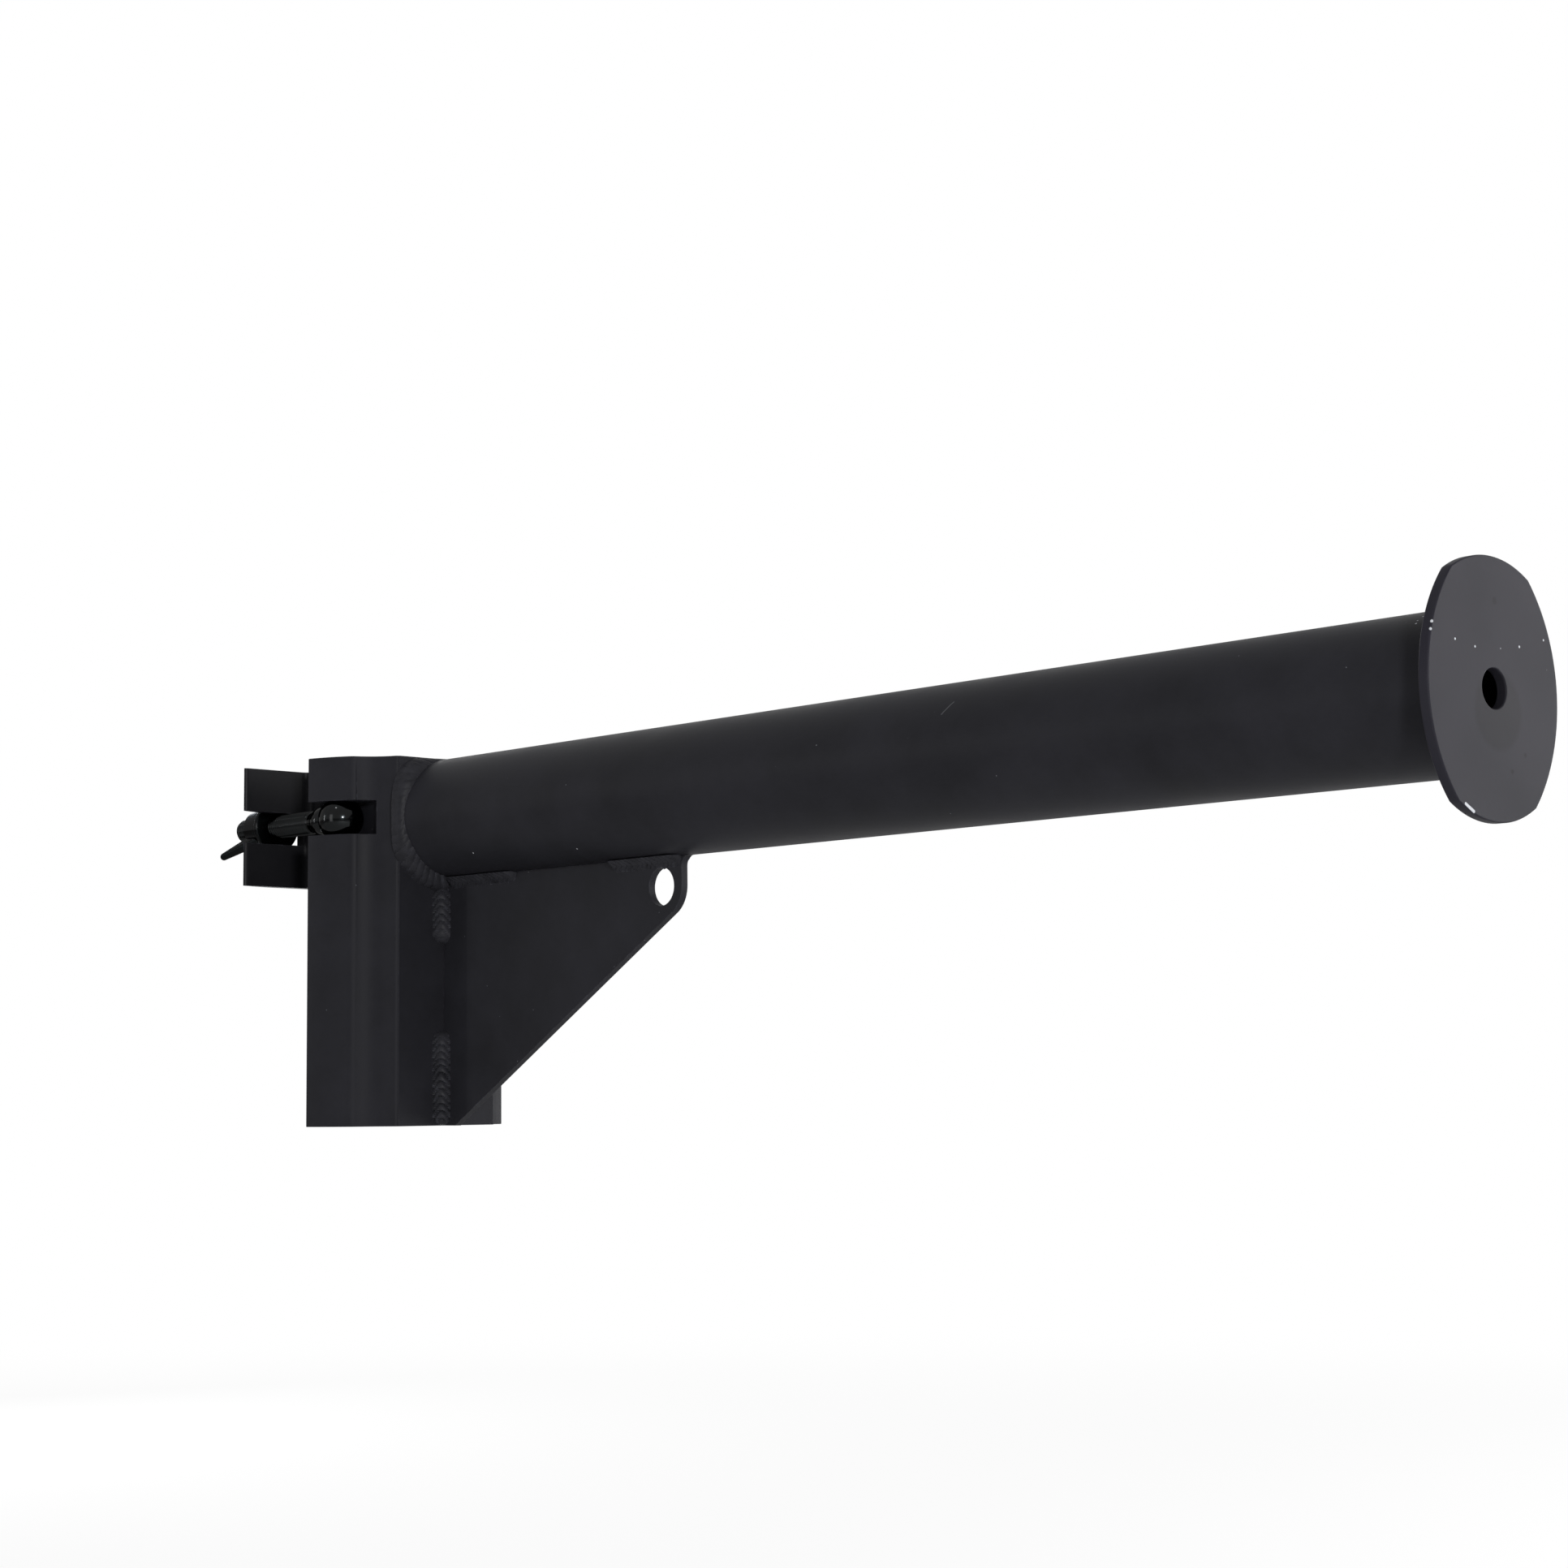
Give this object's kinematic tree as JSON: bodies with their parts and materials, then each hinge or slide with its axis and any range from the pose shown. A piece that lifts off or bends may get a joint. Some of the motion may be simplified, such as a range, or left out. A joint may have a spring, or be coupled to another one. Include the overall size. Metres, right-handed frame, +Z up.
{
  "type": "truss boom arm",
  "caption": "Round boom arm on a gusseted saddle clamp with a hinged jaw, swinging eye bolt and wing nut, safety eye and drilled end plate.",
  "frame": {"origin": "where the axis of the clamped upright tube meets the axis of the boom tube", "axes": "+X along the boom tube from the clamp to the end plate, +Z up along the clamped upright tube, -Y the side of the eye bolt"},
  "size_m": [0.6147, 0.1025, 0.1667],
  "materials": {
    "paint": "satin black powder coat",
    "weld": "satin black powder coat over a rippled bead",
    "jaw_paint": "satin black powder coat",
    "pin_steel": "black plating",
    "bolt_steel": "glossy black plating"
  },
  "bodies": {
    "arm": {"arm_tube": "paint", "end_plate": "paint", "gusset_plate": "paint", "clamp_saddle": "paint", "hinge_pin": "pin_steel", "bolt_pivot_pin": "pin_steel", "tube_root_weld": "weld", "tube_tip_weld": "weld", "wall_weld_upper_left": "weld", "wall_weld_upper_right": "weld", "wall_weld_lower_left": "weld", "wall_weld_lower_right": "weld", "seam_weld_inner_left": "weld", "seam_weld_inner_right": "weld", "seam_weld_outer_left": "weld", "seam_weld_outer_right": "weld"},
    "jaw": {"clamp_jaw": "jaw_paint"},
    "bolt": {"eye_bolt": "bolt_steel"},
    "washer": {"washer": "bolt_steel"},
    "wing_nut": {"wing_nut": "bolt_steel"}
  },
  "joints": [
    {"name": "jaw_hinge", "type": "hinge", "parent": "arm", "child": "jaw", "pos_m": [0.0165, 0.036, 0], "axis": [0, 0, -1], "range_deg": [0, 100]},
    {"name": "eye_bolt_swing", "type": "hinge", "parent": "arm", "child": "bolt", "pos_m": [0.0165, -0.036, 0], "axis": [0, 0, 1], "range_deg": [0, 110]},
    {"name": "washer_travel", "type": "slide", "parent": "bolt", "child": "washer", "axis": [-1, 0, 0], "range_m": [0, 0.009]},
    {"name": "wing_nut_spin", "type": "hinge", "parent": "washer", "child": "wing_nut", "pos_m": [-0.0342, -0.036, 0], "axis": [1, 0, 0], "range_deg": [0, 2160]}
  ],
  "couplings": [
    {"joint": "washer_travel", "follows": "wing_nut_spin", "m_per_rad": 0.00023873},
    {"joint": "jaw_hinge", "follows": "wing_nut_spin", "ratio": 0.0025949}
  ]
}
